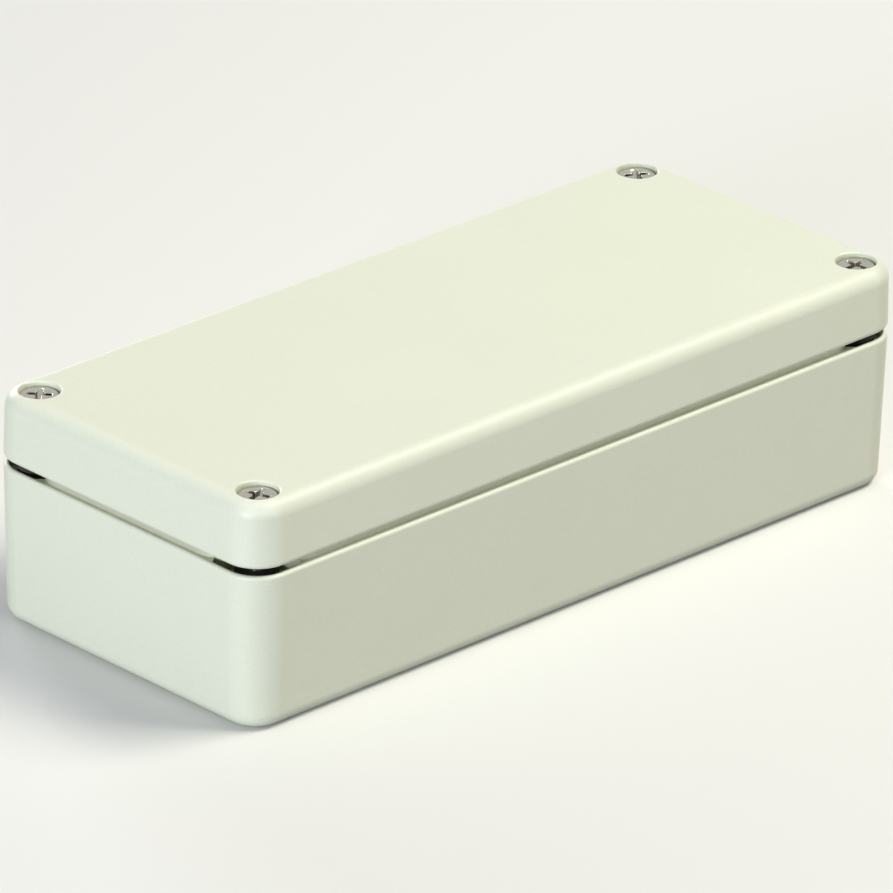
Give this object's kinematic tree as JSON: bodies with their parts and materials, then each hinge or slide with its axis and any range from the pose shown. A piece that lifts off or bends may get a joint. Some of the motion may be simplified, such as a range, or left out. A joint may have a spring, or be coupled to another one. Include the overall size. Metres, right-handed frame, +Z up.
{
  "type": "die cast aluminium box",
  "caption": "Die cast aluminium enclosure with a sealed lift-off lid, captive corner screws, tapped fixing holes and an inner earth terminal.",
  "frame": {"origin": "middle of the flat underside of the base", "axes": "+X along the box, +Y across it, +Z up through the lid"},
  "size_m": [0.15, 0.064, 0.0405],
  "materials": {
    "paint": "satin powder coat, warm light grey, on die cast aluminium",
    "stainless": "bright stainless steel",
    "gasket": "matt black sealing rubber",
    "nylon": "matt black nylon",
    "brass": "plain brass"
  },
  "bodies": {
    "base": {"base": "paint", "earth_screw": "brass", "earth_spring_washer": "stainless", "earth_plain_washer": "brass"},
    "lid": {"lid": "paint", "gasket": "gasket"},
    "washer_1": {"retaining_washer_1": "nylon"},
    "screw_1": {"lid_screw_1": "stainless"},
    "washer_2": {"retaining_washer_2": "nylon"},
    "screw_2": {"lid_screw_2": "stainless"},
    "washer_3": {"retaining_washer_3": "nylon"},
    "screw_3": {"lid_screw_3": "stainless"},
    "washer_4": {"retaining_washer_4": "nylon"},
    "screw_4": {"lid_screw_4": "stainless"}
  },
  "joints": [
    {"name": "lid_lift", "type": "slide", "parent": "base", "child": "lid", "axis": [0, 0, 1], "range_m": [0, 0.06]},
    {"name": "screw_1_rise", "type": "slide", "parent": "lid", "child": "washer_1", "axis": [0, 0, 1], "range_m": [0, 0.007]},
    {"name": "screw_1_turn", "type": "hinge", "parent": "washer_1", "child": "screw_1", "pos_m": [-0.069, -0.026, 0.0372], "axis": [0, 0, 1], "range_deg": [0, 3600]},
    {"name": "screw_2_rise", "type": "slide", "parent": "lid", "child": "washer_2", "axis": [0, 0, 1], "range_m": [0, 0.007]},
    {"name": "screw_2_turn", "type": "hinge", "parent": "washer_2", "child": "screw_2", "pos_m": [0.069, -0.026, 0.0372], "axis": [0, 0, 1], "range_deg": [0, 3600]},
    {"name": "screw_3_rise", "type": "slide", "parent": "lid", "child": "washer_3", "axis": [0, 0, 1], "range_m": [0, 0.007]},
    {"name": "screw_3_turn", "type": "hinge", "parent": "washer_3", "child": "screw_3", "pos_m": [0.069, 0.026, 0.0372], "axis": [0, 0, 1], "range_deg": [0, 3600]},
    {"name": "screw_4_rise", "type": "slide", "parent": "lid", "child": "washer_4", "axis": [0, 0, 1], "range_m": [0, 0.007]},
    {"name": "screw_4_turn", "type": "hinge", "parent": "washer_4", "child": "screw_4", "pos_m": [-0.069, 0.026, 0.0372], "axis": [0, 0, 1], "range_deg": [0, 3600]}
  ],
  "couplings": [
    {"joint": "screw_1_turn", "follows": "screw_1_rise", "rad_per_m": 8976},
    {"joint": "screw_2_turn", "follows": "screw_2_rise", "rad_per_m": 8976},
    {"joint": "screw_3_turn", "follows": "screw_3_rise", "rad_per_m": 8976},
    {"joint": "screw_4_turn", "follows": "screw_4_rise", "rad_per_m": 8976}
  ]
}
